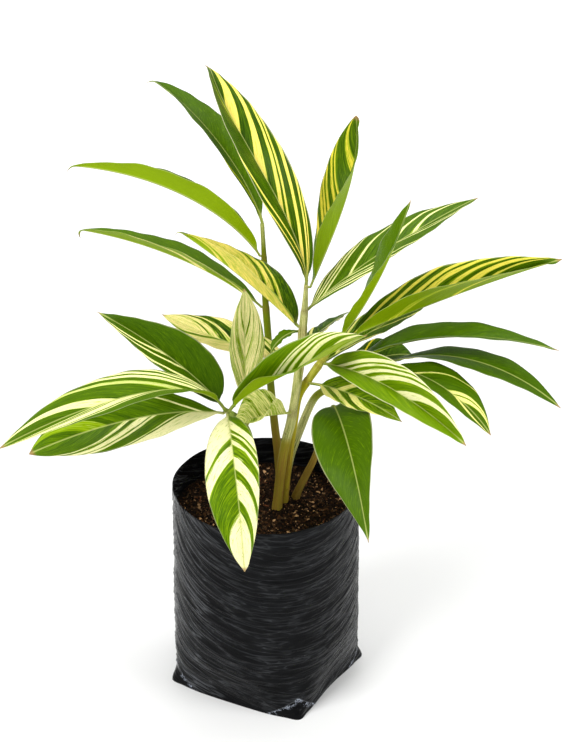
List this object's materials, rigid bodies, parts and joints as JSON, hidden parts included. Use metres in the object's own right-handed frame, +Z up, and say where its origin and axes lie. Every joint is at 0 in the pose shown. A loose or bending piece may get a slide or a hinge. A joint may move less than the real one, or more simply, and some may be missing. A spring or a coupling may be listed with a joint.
{
  "type": "ginger plant in a pot",
  "caption": "variegated shell ginger plant with cream-striped lance-shaped leaves on leafy canes, growing in a black plastic grow bag filled with potting soil",
  "frame": {"origin": "the middle of the grow bag's flat square base, on the surface that it stands on", "axes": "+Z up along the bag; -Y faces the viewer of the picture, +X to that viewer's right; the bag's roughly square base has its corners 8, 104, 197 and 290 degrees round from +X"},
  "size_m": [0.5615, 0.3894, 0.6386],
  "materials": {
    "bag": "thin glossy black polythene film, finely wrinkled",
    "soil": "dark moist potting soil with bark bits",
    "stem": "satin olive green cane",
    "leaf_plain": "satin green leaf",
    "leaf_striped": "satin green leaf striped with cream and yellow"
  },
  "bodies": {
    "root": {"bag": "bag", "soil": "soil", "stem_main": "stem", "stem_right": "stem", "stem_left_tall": "stem", "stem_back_right": "stem", "stem_low_right": "stem", "stem_front_left": "stem", "leaf_top_left": "leaf_plain", "leaf_top_striped": "leaf_striped", "leaf_top_right": "leaf_striped", "leaf_left_plain": "leaf_plain", "leaf_left_lower": "leaf_plain", "leaf_left_striped": "leaf_striped", "leaf_left_back": "leaf_striped", "leaf_upright_cream": "leaf_striped", "leaf_middle_front": "leaf_striped", "leaf_curled": "leaf_striped", "leaf_front_hanging": "leaf_striped", "leaf_front_left_upper": "leaf_striped", "leaf_front_left_long": "leaf_striped", "leaf_front_left_low": "leaf_striped", "leaf_right_upright": "leaf_plain", "leaf_right_upper": "leaf_striped", "leaf_right_big": "leaf_striped", "leaf_right_behind": "leaf_striped", "leaf_right_long": "leaf_plain", "leaf_right_low": "leaf_plain", "leaf_right_low_striped": "leaf_striped", "leaf_right_front": "leaf_striped", "leaf_right_hanging": "leaf_plain", "leaf_right_curled": "leaf_striped", "leaf_back_right": "leaf_plain", "leaf_back_narrow": "leaf_plain", "leaf_back_middle": "leaf_striped", "leaf_back_small": "leaf_plain"}
  },
  "joints": []
}
